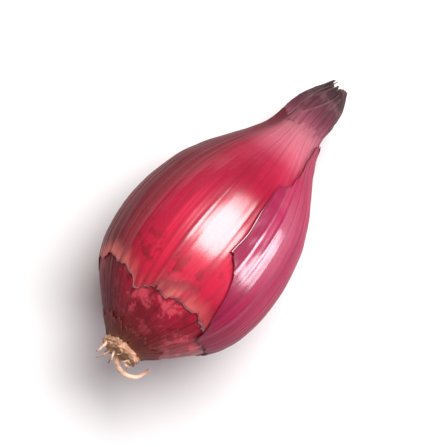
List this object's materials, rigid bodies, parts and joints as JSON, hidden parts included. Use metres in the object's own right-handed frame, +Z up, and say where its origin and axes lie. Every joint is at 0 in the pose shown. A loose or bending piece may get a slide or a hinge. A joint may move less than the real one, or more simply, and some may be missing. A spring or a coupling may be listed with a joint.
{
  "type": "red onion set",
  "caption": "Red onion set: a small dry planting bulb with papery crimson skin, a dried neck and curled root ends, lying on its side.",
  "frame": {"origin": "middle of the bulb's box, seen from above, on the surface that it lies on", "axes": "+X along the bulb from its root plate to its dried neck, +Z up from the flat spot that it rests on"},
  "size_m": [0.037, 0.018, 0.0174],
  "materials": {
    "skin": "satin"
  },
  "bodies": {
    "root": {"onion_set": "skin"}
  },
  "joints": []
}
